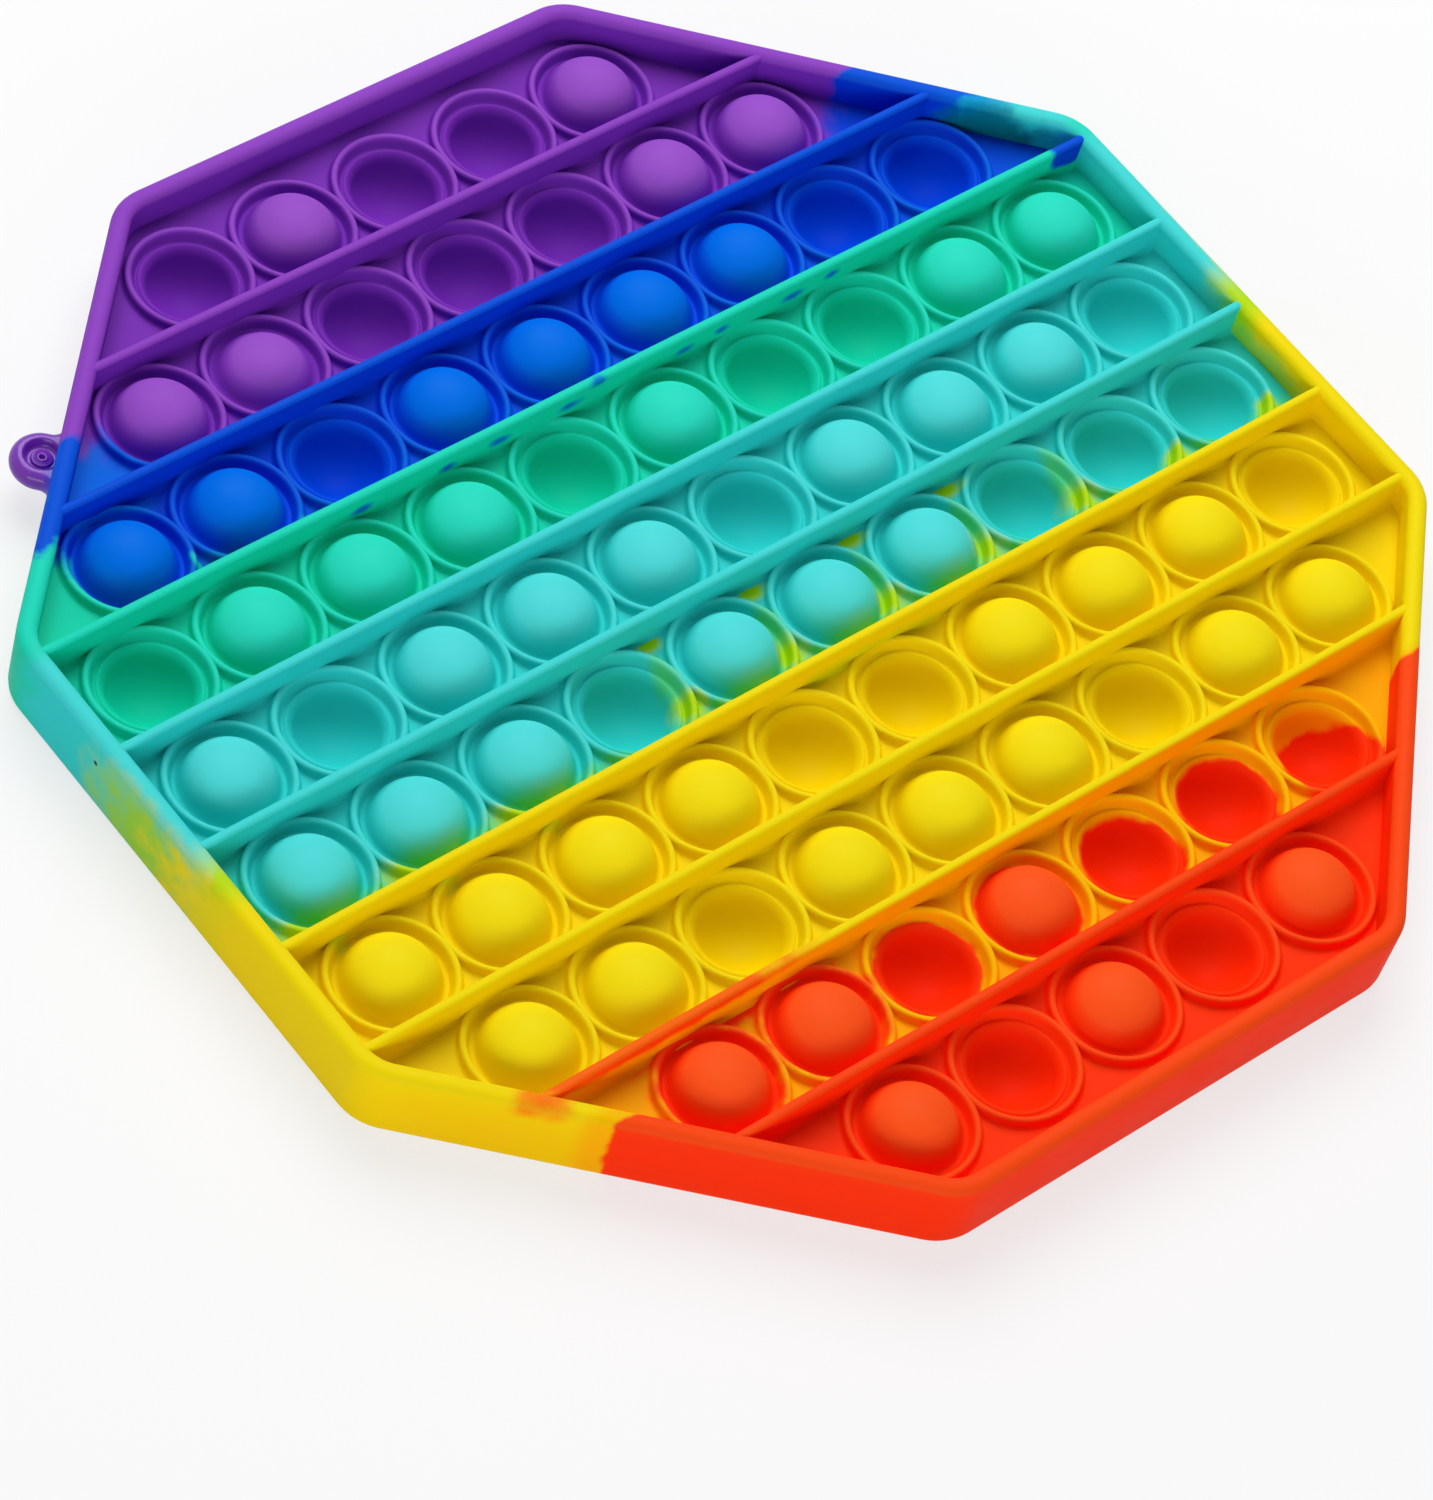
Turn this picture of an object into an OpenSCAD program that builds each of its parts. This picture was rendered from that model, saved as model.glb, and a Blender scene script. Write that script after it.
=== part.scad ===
// Bubble pop fidget toy: an eight-sided mat moulded in one piece of soft silicone rubber.
// A thin sheet lies half-way up the rim, and carries ten rows of domes that can be
// pushed through to either side. Both faces have the same rim, dividers and ring ridges.
// The mat lies on its rim, with rows along X and the first row towards +Y.

/* [Bubbles] */
// Distance between the centres of neighbouring bubbles, along a row and between rows
pitch = 18.9; // [18.2:0.1:22]
// Outer diameter of a dome at its foot
dome_d = 14.9; // [12:0.1:15.1]
// Height of a dome above the middle of the sheet
dome_h = 6.1; // [4:0.1:6.5]
// Wall thickness of a dome
dome_t = 0.9; // [0.6:0.05:1.2]
// Thickness of the soft web round a dome's foot, on which it turns over
web_t = 0.8; // [0.5:0.05:1.2]
// Width of the flat floor of the groove between a dome's foot and its ring ridge
groove_w = 0.5; // [0.3:0.05:0.8]
// Share of its height that the sagging dome keeps
sag_keep = 0.8; // [0.6:0.05:0.95]

/* [Ring ridges] */
// Height of a ring ridge above the sheet
ridge_h = 1.35; // [0.9:0.05:2]
// Width of a ridge across its crest
ridge_w = 0.85; // [0.75:0.05:0.95]
// Size of the bevels along both edges of a ridge's crest
ridge_bevel = 0.3; // [0.15:0.05:0.35]
// Valley between the crests of two ridges, where they come closest
valley_w = 0.2; // [0.15:0.05:0.5]
// Depth of that valley below the crests
valley_h = 0.45; // [0.4:0.05:0.7]
// How far the foot of a ridge reaches past the middle between two bubbles
foot_reach = 0.15; // [0.08:0.01:0.3]

/* [Sheet, rim and dividers] */
// Thickness of the sheet between the ridges
sheet_t = 1.5; // [1:0.1:2]
// Height of the rim
rim_h = 13.6; // [13.2:0.2:18]
// Thickness of the rim's wall
rim_t = 3; // [2.4:0.1:4]
// Rounding of the rim's four long edges
rim_round = 1.1; // [0.6:0.1:1.15]
// Outer radius of the rim's eight corners, seen from above
corner_r = 9; // [6:0.5:12]
// Clear strip between the outermost cells and the inside of the rim
edge_gap = 2.5; // [2:0.1:6]
// Thickness of a divider between two rows
divider_t = 1.5; // [1.2:0.1:2]
// How much lower a divider's crest is than the rim
divider_drop = 0.3; // [0.2:0.1:1.5]
// Rounding of a divider's four long edges
divider_round = 0.4; // [0.2:0.05:0.55]

/* [Hanging ear] */
// Outer diameter of the ear
ear_d = 9.4; // [8:0.2:14]
// Thickness of the ear at its rounded edge
ear_t = 3.6; // [2.4:0.2:5]
// Distance from the rim's outer face to the middle of the ear
ear_out = 2; // [1:0.5:6]
// Distance from the middle of the side to the middle of the ear, towards the left corner
ear_along = 4.6; // [0:0.2:20]
// Diameter of the round hollow in each face of the ear
ear_hollow_d = 5.6; // [4:0.2:7]
// Thickness of the skin that closes the ear's eye
ear_skin_t = 1; // [0.6:0.1:1.6]
// Diameter of the low disc in the hollow
ear_disc_d = 3.8; // [3:0.2:5]
// Height of that disc above the skin
ear_disc_h = 0.5; // [0.2:0.1:0.8]
// Diameter of the small bead on the disc
ear_bead_d = 1.9; // [1.4:0.1:2.4]
// Thickness of the small bead
ear_bead_t = 0.5; // [0.3:0.1:0.6]
// Radius of the fillets between the ear and the rim
ear_fillet = 1.2; // [0.6:0.2:2]

/* [Hidden] */
$fn = 48;

// U is a dome that stands up, D one that is pushed down, and s one that has sagged.
rows = [
    "DUDDU",
    "UsDDDUU",
    "UUDUUUUDD",
    "DUUUDUDDUU",
    "UDUUUDUUUD",
    "UUUDUUUDDD",
    "UUUUDDUUUD",
    "UUDUUUDUU",
    "UUDUDDD",
    "UDUDU"
];
n_rows = len(rows);
n_dividers = n_rows - 1;
cell_r = pitch / 2;
mid_z = rim_h / 2;

// The octagon's size follows from the rows that it holds.
across_flats = n_rows * pitch + 2 * (edge_gap + rim_t);
side_angle = 45;
half_angle = side_angle / 2;
flat_r = across_flats / 2;
corner_at = (flat_r - corner_r) / cos(half_angle);
bend_r = corner_r - rim_t / 2;
bend_steps = 6;
round_steps = 4;
wall_mid_r = flat_r - rim_t / 2;

// The sheet ends inside the wall, a little short of the wall's middle, where the dividers end.
sheet_end_r = wall_mid_r - rim_t / 10;
sheet_corner_r = sheet_end_r / cos(half_angle);

// Radii and heights of one bubble's section, from its middle outwards.
dome_r = dome_d / 2;
web_in_r = dome_r - dome_t / 2;
crest_z = sheet_t / 2 + ridge_h;
crest_out_r = cell_r - valley_w / 2;
crest_in_r = crest_out_r - ridge_w;
least_lean = 0.1;
groove_out_r = min(dome_r + groove_w, crest_in_r - least_lean);
hole_r = crest_out_r - ridge_w / 2;
foot_r = cell_r + foot_reach;
far = 2 * dome_d;

function bubble_x(i, j) = (j - (len(rows[i]) - 1) / 2) * pitch;
function bubble_y(i) = ((n_rows - 1) / 2 - i) * pitch;
function divider_y(k) = ((n_dividers - 1) / 2 - k) * pitch;
function half_width_at(y) = min(wall_mid_r, wall_mid_r * sqrt(2) - abs(y));

// The front half of a ridge with the groove and the web inside it.
module ridge_section() {
    polygon([
        [web_in_r, 0],
        [web_in_r, web_t / 2],
        [groove_out_r, web_t / 2],
        [crest_in_r, crest_z - ridge_bevel],
        [crest_in_r + ridge_bevel, crest_z],
        [crest_out_r - ridge_bevel, crest_z],
        [crest_out_r, crest_z - ridge_bevel],
        [crest_out_r, 0]
    ]);
}

// A domed shell of even thickness, standing up from the underside of the web.
module dome(h) {
    outer_r = (pow(dome_r, 2) + pow(h, 2)) / (2 * h);
    difference() {
        translate([0, 0, h - outer_r]) sphere(outer_r);
        translate([0, 0, h - outer_r]) sphere(outer_r - dome_t);
        translate([0, 0, -far - web_t / 2]) cylinder(r = far, h = far);
    }
}

module bubble(state) {
    rotate_extrude() {
        ridge_section();
        mirror([0, 1]) ridge_section();
    }
    mirror([0, 0, state == "D" ? 1 : 0]) dome(state == "s" ? dome_h * sag_keep : dome_h);
}

module at_bubbles() {
    for (i = [0:n_rows - 1], j = [0:len(rows[i]) - 1])
        translate([bubble_x(i, j), bubble_y(i)]) children();
}

// The flat sheet, open at each bubble, with the joined feet of the ring ridges.
module sheet() {
    foot_h = 2 * (crest_z - valley_h);
    translate([0, 0, -sheet_t / 2]) linear_extrude(sheet_t) difference() {
        polygon([for (k = [0:7]) sheet_corner_r * [cos((k + 0.5) * side_angle), sin((k + 0.5) * side_angle)]]);
        at_bubbles() circle(hole_r);
    }
    translate([0, 0, -foot_h / 2]) linear_extrude(foot_h) difference() {
        at_bubbles() circle(foot_r);
        at_bubbles() circle(hole_r);
    }
}

// The rim's section as [distance outwards from the wall's middle, height], round at its edges.
function rim_section() = [
    for (corner = [[1, 1, 0], [-1, 1, 90], [-1, -1, 180], [1, -1, 270]], s = [0:round_steps])
        let (a = corner.z + 90 * s / round_steps)
        [corner.x * (rim_t / 2 - rim_round) + rim_round * cos(a),
            corner.y * (rim_h / 2 - rim_round) + rim_round * sin(a)]
];

// One turn round the octagon, with its rounded corners, for one point of the section.
function rim_turn(p) = [
    for (k = [0:7], s = [0:bend_steps])
        let (mid = (k + 0.5) * side_angle, a = (k + s / bend_steps) * side_angle)
        [corner_at * cos(mid) + (bend_r + p.x) * cos(a), corner_at * sin(mid) + (bend_r + p.x) * sin(a), p.y]
];

module rim() {
    section = rim_section();
    n = len(section);
    m = 8 * (bend_steps + 1);
    polyhedron(
        points = [for (p = section) each rim_turn(p)],
        faces = [
            for (i = [0:n - 1], j = [0:m - 1])
                let (i2 = (i + 1) % n, j2 = (j + 1) % m)
                [i * m + j, i2 * m + j, i2 * m + j2, i * m + j2]
        ]
    );
}

// A thin wall between two rows, with rounded edges, that runs into the rim at both ends.
module divider(y) {
    divider_h = rim_h - 2 * divider_drop;
    flat_w = divider_t - 2 * divider_round;
    flat_h = divider_h - 2 * divider_round;
    translate([-half_width_at(y), y, 0]) rotate([90, 0, 90]) linear_extrude(2 * half_width_at(y)) {
        square([divider_t, flat_h], center = true);
        square([flat_w, divider_h], center = true);
        for (x = [-1, 1], z = [-1, 1]) translate([x * flat_w / 2, z * flat_h / 2]) circle(divider_round);
    }
}

// One face of the ear's eye: a low disc on the skin, with a small round bead on it.
module ear_eye() {
    disc_z = ear_skin_t / 2 + ear_disc_h;
    cylinder(d = ear_disc_d, h = disc_z);
    translate([0, 0, disc_z]) rotate_extrude()
        translate([(ear_bead_d - ear_bead_t) / 2, 0]) circle(d = ear_bead_t);
}

// The ear sits on the side at the upper left, half-way up the rim.
module ear() {
    edge_r = ear_t / 2;
    neck_in = ear_out + rim_t / 2;
    neck_w = ear_d + ear_fillet;
    rotate(3 * side_angle) translate([flat_r + ear_out, ear_along, 0]) {
        difference() {
            union() {
                rotate_extrude() {
                    translate([0, -edge_r]) square([ear_d / 2 - edge_r, ear_t]);
                    translate([ear_d / 2 - edge_r, 0]) circle(edge_r);
                }
                translate([-neck_in, 0, -ear_skin_t]) linear_extrude(2 * ear_skin_t) difference() {
                    translate([0, -neck_w / 2]) square([neck_in, neck_w]);
                    for (s = [-1, 1]) translate([neck_in, s * (neck_w / 2 + ear_fillet / 2)])
                        circle(ear_fillet);
                }
            }
            for (s = [0, 1]) mirror([0, 0, s]) translate([0, 0, ear_skin_t / 2])
                cylinder(d = ear_hollow_d, h = ear_t);
        }
        for (s = [0, 1]) mirror([0, 0, s]) ear_eye();
    }
}

module bubble_mat() {
    color("gold") translate([0, 0, mid_z]) {
        sheet();
        for (i = [0:n_rows - 1], j = [0:len(rows[i]) - 1])
            translate([bubble_x(i, j), bubble_y(i), 0]) bubble(rows[i][j]);
        rim();
        for (k = [0:n_dividers - 1]) divider(divider_y(k));
        ear();
    }
}

bubble_mat();
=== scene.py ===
import math

import bmesh
import bpy
from bpy.props import FloatProperty, FloatVectorProperty, PointerProperty
from mathutils import Matrix, Vector


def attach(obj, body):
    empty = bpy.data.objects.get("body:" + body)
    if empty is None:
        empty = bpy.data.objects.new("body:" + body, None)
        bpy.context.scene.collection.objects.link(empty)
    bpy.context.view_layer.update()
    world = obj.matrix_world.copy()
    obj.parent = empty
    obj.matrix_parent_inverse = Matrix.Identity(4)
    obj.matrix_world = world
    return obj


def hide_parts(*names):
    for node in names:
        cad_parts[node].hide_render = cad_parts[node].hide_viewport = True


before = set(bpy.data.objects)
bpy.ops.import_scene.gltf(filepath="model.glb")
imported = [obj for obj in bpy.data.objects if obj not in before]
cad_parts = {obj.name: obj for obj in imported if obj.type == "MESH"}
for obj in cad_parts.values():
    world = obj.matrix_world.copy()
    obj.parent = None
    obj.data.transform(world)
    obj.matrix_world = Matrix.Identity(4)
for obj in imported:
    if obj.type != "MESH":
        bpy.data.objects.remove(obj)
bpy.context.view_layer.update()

bl_info = {
    "name": "Bubble pop fidget toy",
    "version": (1, 0, 0),
    "blender": (4, 5, 0),
    "location": "3D View > Sidebar > Bubble toy",
    "description": "The soft silicone skin of an eight-sided bubble mat, with its studio",
    "category": "Object",
}

BODY = "root"
NODE = "bubble_mat"
MM = 0.001

# U is a dome that stands up, D one that is pushed down, and s one that has sagged.
ROWS = (
    "DUDDU",
    "UsDDDUU",
    "UUDUUUUDD",
    "DUUUDUDDUU",
    "UDUUUDUUUD",
    "UUUDUUUDDD",
    "UUUUDDUUUD",
    "UUDUUUDUU",
    "UUDUDDD",
    "UDUDU",
)
STATES = "UDs"
STATE_INPUTS = ("Standing", "Pushed", "Sagged")
SIDES = 8
SIDE_ANGLE = 2 * math.pi / SIDES

# How finely the round shapes are divided
TURN_STEPS = 56
CORNER_STEPS = 12
ROUNDING_STEPS = 5
DIVIDER_POINTS = 60
EAR_STEPS = 40
EAR_EDGE_STEPS = 6
EAR_FILLET_STEPS = 8
EAR_ROOT_STEPS = 8
TINY = 1e-6

# The toy's half height, and a reach that takes in its whole height, for the colours in millimetres
MIDDLE_MM = 6.8
DEEP_MM = 200

# The camera's place, and its directions to the right and backwards
CAMERA_PLACE = (-0.4361, -0.3239, 0.6791)
CAMERA_RIGHT = (0.7668, -0.61056, 0.19807)
CAMERA_BACK = (-0.49028, -0.35793, 0.79468)
WHITE = (1, 1, 1, 1)


# Sizes, colours and the look of the studio

def size(name, value_mm, about):
    return FloatProperty(
        name=name, description=about, default=value_mm * MM, subtype="DISTANCE", unit="LENGTH", precision=4)


def srgb(red, green, blue):
    """A colour as it shows on a screen, from 0 to 255, as Blender's linear one."""
    parts = [c / 255 for c in (red, green, blue)]
    return [c / 12.92 if c <= 0.04045 else ((c + 0.055) / 1.055) ** 2.4 for c in parts]


def paint(name, rgb, about):
    return FloatVectorProperty(
        name=name, description=about, default=srgb(*rgb), size=3, min=0, max=1, subtype="COLOR")


def amount(name, default, about, **limits):
    return FloatProperty(name=name, description=about, default=default, **limits)


class ToySizes(bpy.types.PropertyGroup):
    pitch: size("Pitch", 18.9, "Distance between the centres of neighbouring bubbles")
    across_flats: size("Across flats", 200, "Width of the octagon from side to side")
    corner_r: size("Corner radius", 9, "Outer radius of the rim's corners, seen from above")
    rim_h: size("Rim height", 13.6, "Height of the whole toy")
    rim_t: size("Rim thickness", 3, "Thickness of the rim's wall")
    rim_round: size("Rim rounding", 1.4, "Radius along the rim's edges")
    divider_t: size("Divider thickness", 1.5, "Thickness of the wall between two rows")
    divider_round: size("Divider rounding", 0.64, "Radius along a divider's crest")
    divider_drop: size("Divider drop", 0.3, "How much lower a divider is than the rim")
    divider_waver: size("Divider waver", 0.16, "How far the soft dividers stray from a straight line")
    foot_fillet: size("Foot fillet", 0.6, "Radius where a wall stands on the sheet")
    sheet_t: size("Sheet thickness", 1.5, "Thickness of the sheet between the ridges")
    ridge_r: size("Ridge radius", 9.2, "Radius of a ring ridge's crest")
    ridge_h: size("Ridge height", 1.35, "Height of a ridge above the sheet")
    web_r: size("Web radius", 8.05, "Radius where the ridge's inside reaches the thin web")
    web_t: size("Web thickness", 0.8, "Thickness of the web on which a dome turns over")
    dome_r: size("Dome radius", 7.45, "Radius of a dome at its foot")
    dome_h: size("Dome height", 6.1, "Height of a dome above the middle of the sheet")
    dome_t: size("Dome wall", 0.9, "Wall thickness of a dome")
    sag_h: size("Sagged dome height", 4.9, "Height of the dome that has sagged")


class EarSizes(bpy.types.PropertyGroup):
    out: size("Reach", 2, "Distance from the rim's outer face to the middle of the ear")
    along: size("Place along the side", 4.6, "Distance from the middle of the side")
    radius: size("Radius", 4.7, "Outer radius of the ear")
    edge_r: size("Half thickness", 1.8, "Half of the ear's thickness, at which its round edge ends")
    edge_w: size("Edge width", 1.55, "How far in the ear's round edge reaches")
    fillet: size("Root fillet", 1.6, "Radius of the fillets at the ear's root")
    hollow_r: size("Hollow radius", 2.72, "Radius of the round hollow in each face")
    lip_r: size("Lip radius", 0.4, "Rounding of the hollow's edge")
    bowl_r: size("Bowl radius", 0.7, "Radius in which the hollow's wall runs into its skin")
    skin_t: size("Skin", 1.0, "Thickness of the skin that closes the eye")
    disc_r: size("Disc radius", 1.65, "Radius of the low disc in the hollow")
    disc_h: size("Disc height", 0.5, "Height of the disc above the skin")
    bead_r: size("Bead radius", 0.62, "Radius of the small bead on the disc")
    bead_t: size("Bead thickness", 0.4, "Thickness of the small bead")
    pit_r: size("Pit radius", 0.36, "Radius of the pit in the middle")


class PourColours(bpy.types.PropertyGroup):
    purple: paint("Purple", (118, 44, 177), "First and second rows")
    blue: paint("Blue", (2, 58, 208), "Sheet, ridges and dividers of the third row")
    azure: paint("Azure", (0, 72, 220), "Domes of the third row")
    sky: paint("Sky blue", (0, 98, 222), "Left corner of the second row")
    magenta: paint("Magenta", (150, 50, 170), "Where purple has run into blue")
    teal: paint("Teal", (0, 110, 120), "Where blue has run into mint")
    mint: paint("Mint", (14, 207, 170), "Fourth row")
    turquoise: paint("Turquoise", (44, 207, 205), "Fifth and sixth rows")
    green: paint("Green", (80, 203, 96), "Deep places where turquoise has met yellow")
    lime: paint("Lime", (165, 215, 8), "Where turquoise runs into yellow")
    moss: paint("Moss", (150, 205, 60), "Outside of the rim between turquoise and yellow")
    yellow: paint("Yellow", (243, 212, 2), "Seventh row and most of the eighth")
    orange: paint("Orange", (252, 176, 0), "Sheet and ridges of the ninth row")
    red: paint("Red", (255, 50, 6), "Tenth row")
    speck: paint("Speck", (20, 70, 60), "A dark speck in the rim")


class StudioLook(bpy.types.PropertyGroup):
    floor_shade: amount("Floor", 0.9, "How pale the floor is", min=0, max=1)
    floor_glow: amount("Floor glow", 0.7, "Share of plain white in the floor as it is seen", min=0, max=1)
    key_power: amount("Key light", 11.6, "Power of the softbox behind the toy", unit="POWER")
    fill_power: amount("Fill light", 6.9, "Power of the strip light on the camera's side", unit="POWER")
    sky: amount("Sky", 0.14, "Strength of the even light from all round", min=0)
    lens: amount("Lens", 143.2, "Focal length of the camera", subtype="DISTANCE_CAMERA")


def sizes():
    return bpy.context.scene.toy_sizes


# Mesh helpers

def arc(centre, radius, start, stop, steps):
    """Points on an arc, from one angle to another in degrees."""
    turns = [math.radians(start + (stop - start) * k / steps) for k in range(steps + 1)]
    return [(centre[0] + radius * math.cos(a), centre[1] + radius * math.sin(a)) for a in turns]


def smooth_line(points, steps):
    """A smooth line through the given points, with the same number of steps between each pair."""
    ends = [points[0], *points, points[-1]]
    line = []
    for before, start, stop, after in zip(ends, ends[1:], ends[2:], ends[3:]):
        for k in range(steps):
            t = k / steps
            line.append(tuple(
                0.5 * (2 * b + (c - a) * t + (2 * a - 5 * b + 4 * c - d) * t ** 2
                       + (3 * b - a - 3 * c + d) * t ** 3)
                for a, b, c, d in zip(before, start, stop, after)))
    return line + [points[-1]]


def points_from(radius, height, offsets_mm):
    """Points of a section, given in millimetres from a radius and a height."""
    return [(radius + out * MM, height + up * MM) for out, up in offsets_mm]


def join_loops(shape, loops, flip=False):
    """Smooth faces between each loop of vertices and the next."""
    for outer, inner in zip(loops, loops[1:]):
        for k in range(len(outer)):
            corners = [outer[k - 1], outer[k], inner[k], inner[k - 1]]
            face = [c for i, c in enumerate(corners) if c not in corners[:i]]
            shape.faces.new(reversed(face) if flip else face).smooth = True


def lathe(name, section):
    """A mesh turned round Z from a section of radius and height, from the outside to the middle."""
    shape = bmesh.new()
    turn = [2 * math.pi * k / TURN_STEPS for k in range(TURN_STEPS)]
    rings = []
    for radius, height in section:
        if radius < TINY:
            rings.append([shape.verts.new((0, 0, height))] * TURN_STEPS)
        else:
            rings.append([shape.verts.new((radius * math.cos(a), radius * math.sin(a), height)) for a in turn])
    join_loops(shape, rings)
    return finished_mesh(shape, name)


def finished_mesh(shape, name):
    """The mesh of a finished bmesh, which is freed."""
    mesh = bpy.data.meshes.new(name)
    shape.to_mesh(mesh)
    shape.free()
    return mesh


def turned_over(mesh):
    """The same mesh mirrored to the other side of the sheet."""
    mesh.transform(Matrix.Scale(-1, 4, (0, 0, 1)))
    mesh.flip_normals()
    return mesh


def template(mesh):
    """An object out of the scene, for a node tree to repeat."""
    return bpy.data.objects.new(mesh.name, mesh)


def in_scene(name, data):
    """A new object in the scene."""
    thing = bpy.data.objects.new(name, data)
    bpy.context.scene.collection.objects.link(thing)
    return thing


def section_curve(name, points):
    """A closed flat curve through the points, for a node tree to sweep."""
    curve = bpy.data.curves.new(name, "CURVE")
    curve.dimensions = "3D"
    spline = curve.splines.new("POLY")
    spline.points.add(len(points) - 1)
    for point, (x, y) in zip(spline.points, points):
        point.co = (x, y, 0, 1)
    spline.use_cyclic_u = True
    return bpy.data.objects.new(name, curve)


# Node trees

class Nodes:
    """A node tree under construction."""

    def __init__(self, tree):
        self.tree = tree

    def add(self, kind, inputs=None, **settings):
        node = self.tree.nodes.new(kind)
        for name, value in settings.items():
            setattr(node, name, value)
        for socket, value in (inputs or {}).items():
            self.feed(node.inputs[socket], value)
        return node

    def feed(self, socket, value):
        """Links a socket, or a node's first output, or else sets a plain value."""
        if isinstance(value, bpy.types.NodeSocket):
            self.tree.links.new(value, socket)
        elif isinstance(value, bpy.types.Node):
            self.tree.links.new(value.outputs[0], socket)
        else:
            socket.default_value = value

    def maths(self, operation, *values):
        return self.add("ShaderNodeMath", dict(enumerate(values)), operation=operation).outputs[0]


# Geometry Nodes

class Tree(Nodes):
    """A Geometry Nodes tree under construction, with named inputs for its sizes."""

    def __init__(self, name, inputs):
        super().__init__(bpy.data.node_groups.new(name, "GeometryNodeTree"))
        sockets = self.tree.interface
        sockets.new_socket(name="Geometry", in_out="INPUT", socket_type="NodeSocketGeometry")
        for label, kind in inputs:
            sockets.new_socket(name=label, in_out="INPUT", socket_type="NodeSocket" + kind)
        sockets.new_socket(name="Geometry", in_out="OUTPUT", socket_type="NodeSocketGeometry")
        self.given = self.add("NodeGroupInput").outputs

    def place(self, x=0, y=0, z=0):
        return self.add("ShaderNodeCombineXYZ", {"X": x, "Y": y, "Z": z}).outputs[0]

    def joined(self, *parts):
        join = self.add("GeometryNodeJoinGeometry")
        for part in parts:
            self.feed(join.inputs[0], part)
        return join.outputs[0]

    def end(self, geometry):
        real = self.add("GeometryNodeRealizeInstances", {"Geometry": geometry})
        dressed = self.add("GeometryNodeSetMaterial", {"Geometry": real, "Material": self.given["Material"]})
        self.add("NodeGroupOutput", {0: dressed})
        return self.tree


def made_by(tree, name, start, kind, own=None):
    """The plain mesh object that a tree makes from a starting mesh, with the toy's sizes and its own."""
    s = sizes()
    values = {
        "Pitch": s.pitch, "Middle": s.rim_h / 2, "Across flats": s.across_flats, "Rim inset": s.rim_t / 2,
        "Material": material_for(kind), **(own or {})}
    maker = in_scene(name, start)
    nodes = maker.modifiers.new(tree.name, "NODES")
    nodes.node_group = tree
    for socket in tree.interface.items_tree:
        if socket.in_out == "INPUT" and socket.name in values:
            nodes[socket.identifier] = values[socket.name]
    view = bpy.context.evaluated_depsgraph_get()
    mesh = bpy.data.meshes.new_from_object(maker.evaluated_get(view))
    maker.modifiers.clear()
    maker.data = mesh
    mesh.name = name
    return maker


def lattice_points():
    """One vertex for each bubble, a unit apart in its row, with its state as an attribute."""
    points, states = [], []
    for i, row in enumerate(ROWS):
        for j, state in enumerate(row):
            points.append((j - (len(row) - 1) / 2, (len(ROWS) - 1) / 2 - i, 0))
            states.append(STATES.index(state))
    mesh = bpy.data.meshes.new("bubble_points")
    mesh.from_pydata(points, [], [])
    mesh.attributes.new("state", "INT", "POINT").data.foreach_set("value", states)
    return mesh


def spread_points(tree):
    """The lattice's points at their real places, half-way up the toy."""
    here = tree.add("GeometryNodeInputPosition")
    wide = tree.add("ShaderNodeVectorMath", {0: here, 3: tree.given["Pitch"]}, operation="SCALE")
    high = tree.add("ShaderNodeVectorMath", {0: wide, 1: tree.place(z=tree.given["Middle"])}, operation="ADD")
    return tree.add("GeometryNodeSetPosition", {"Geometry": tree.given["Geometry"], "Position": high})


def bubbles_tree():
    """Puts a shape for its state on each bubble's point."""
    tree = Tree("Bubbles on their rows", [
        ("Pitch", "Float"), ("Middle", "Float"), *((label, "Object") for label in STATE_INPUTS),
        ("Material", "Material")])
    points = spread_points(tree)
    state = tree.add("GeometryNodeInputNamedAttribute", {"Name": "state"}, data_type="INT")
    parts = []
    for index, label in enumerate(STATE_INPUTS):
        chosen = tree.add("FunctionNodeCompare", {2: state, 3: index}, data_type="INT", operation="EQUAL")
        shape = tree.add("GeometryNodeObjectInfo", {"Object": tree.given[label]})
        parts.append(tree.add("GeometryNodeInstanceOnPoints", {
            "Points": points, "Selection": chosen, "Instance": shape.outputs["Geometry"]}))
    return tree.end(tree.joined(*parts))


def wall_distance(tree):
    """How far the middle of the rim's wall is from the toy's middle, across the flats."""
    return tree.maths("SUBTRACT", tree.maths("MULTIPLY", tree.given["Across flats"], 0.5), tree.given["Rim inset"])


def octagon_curve(tree):
    """A curve round the octagon, along the middle of the rim's wall."""
    corner = tree.maths("DIVIDE", wall_distance(tree), math.cos(SIDE_ANGLE / 2))
    turned = tree.add("GeometryNodeCurvePrimitiveCircle", {"Resolution": SIDES, "Radius": corner})
    return tree.add("GeometryNodeTransform", {"Geometry": turned, "Rotation": (0, 0, SIDE_ANGLE / 2)})


def swept(tree, curve, caps):
    """The tree's section, swept upright along a curve."""
    upright = tree.add("GeometryNodeSetCurveNormal", {"Curve": curve}, mode="Z_UP")
    section = tree.add("GeometryNodeObjectInfo", {"Object": tree.given["Section"]})
    wall = tree.add("GeometryNodeCurveToMesh", {
        "Curve": upright, "Profile Curve": section.outputs["Geometry"], "Fill Caps": caps})
    return tree.end(tree.add("GeometryNodeSetShadeSmooth", {"Geometry": wall}))


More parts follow.
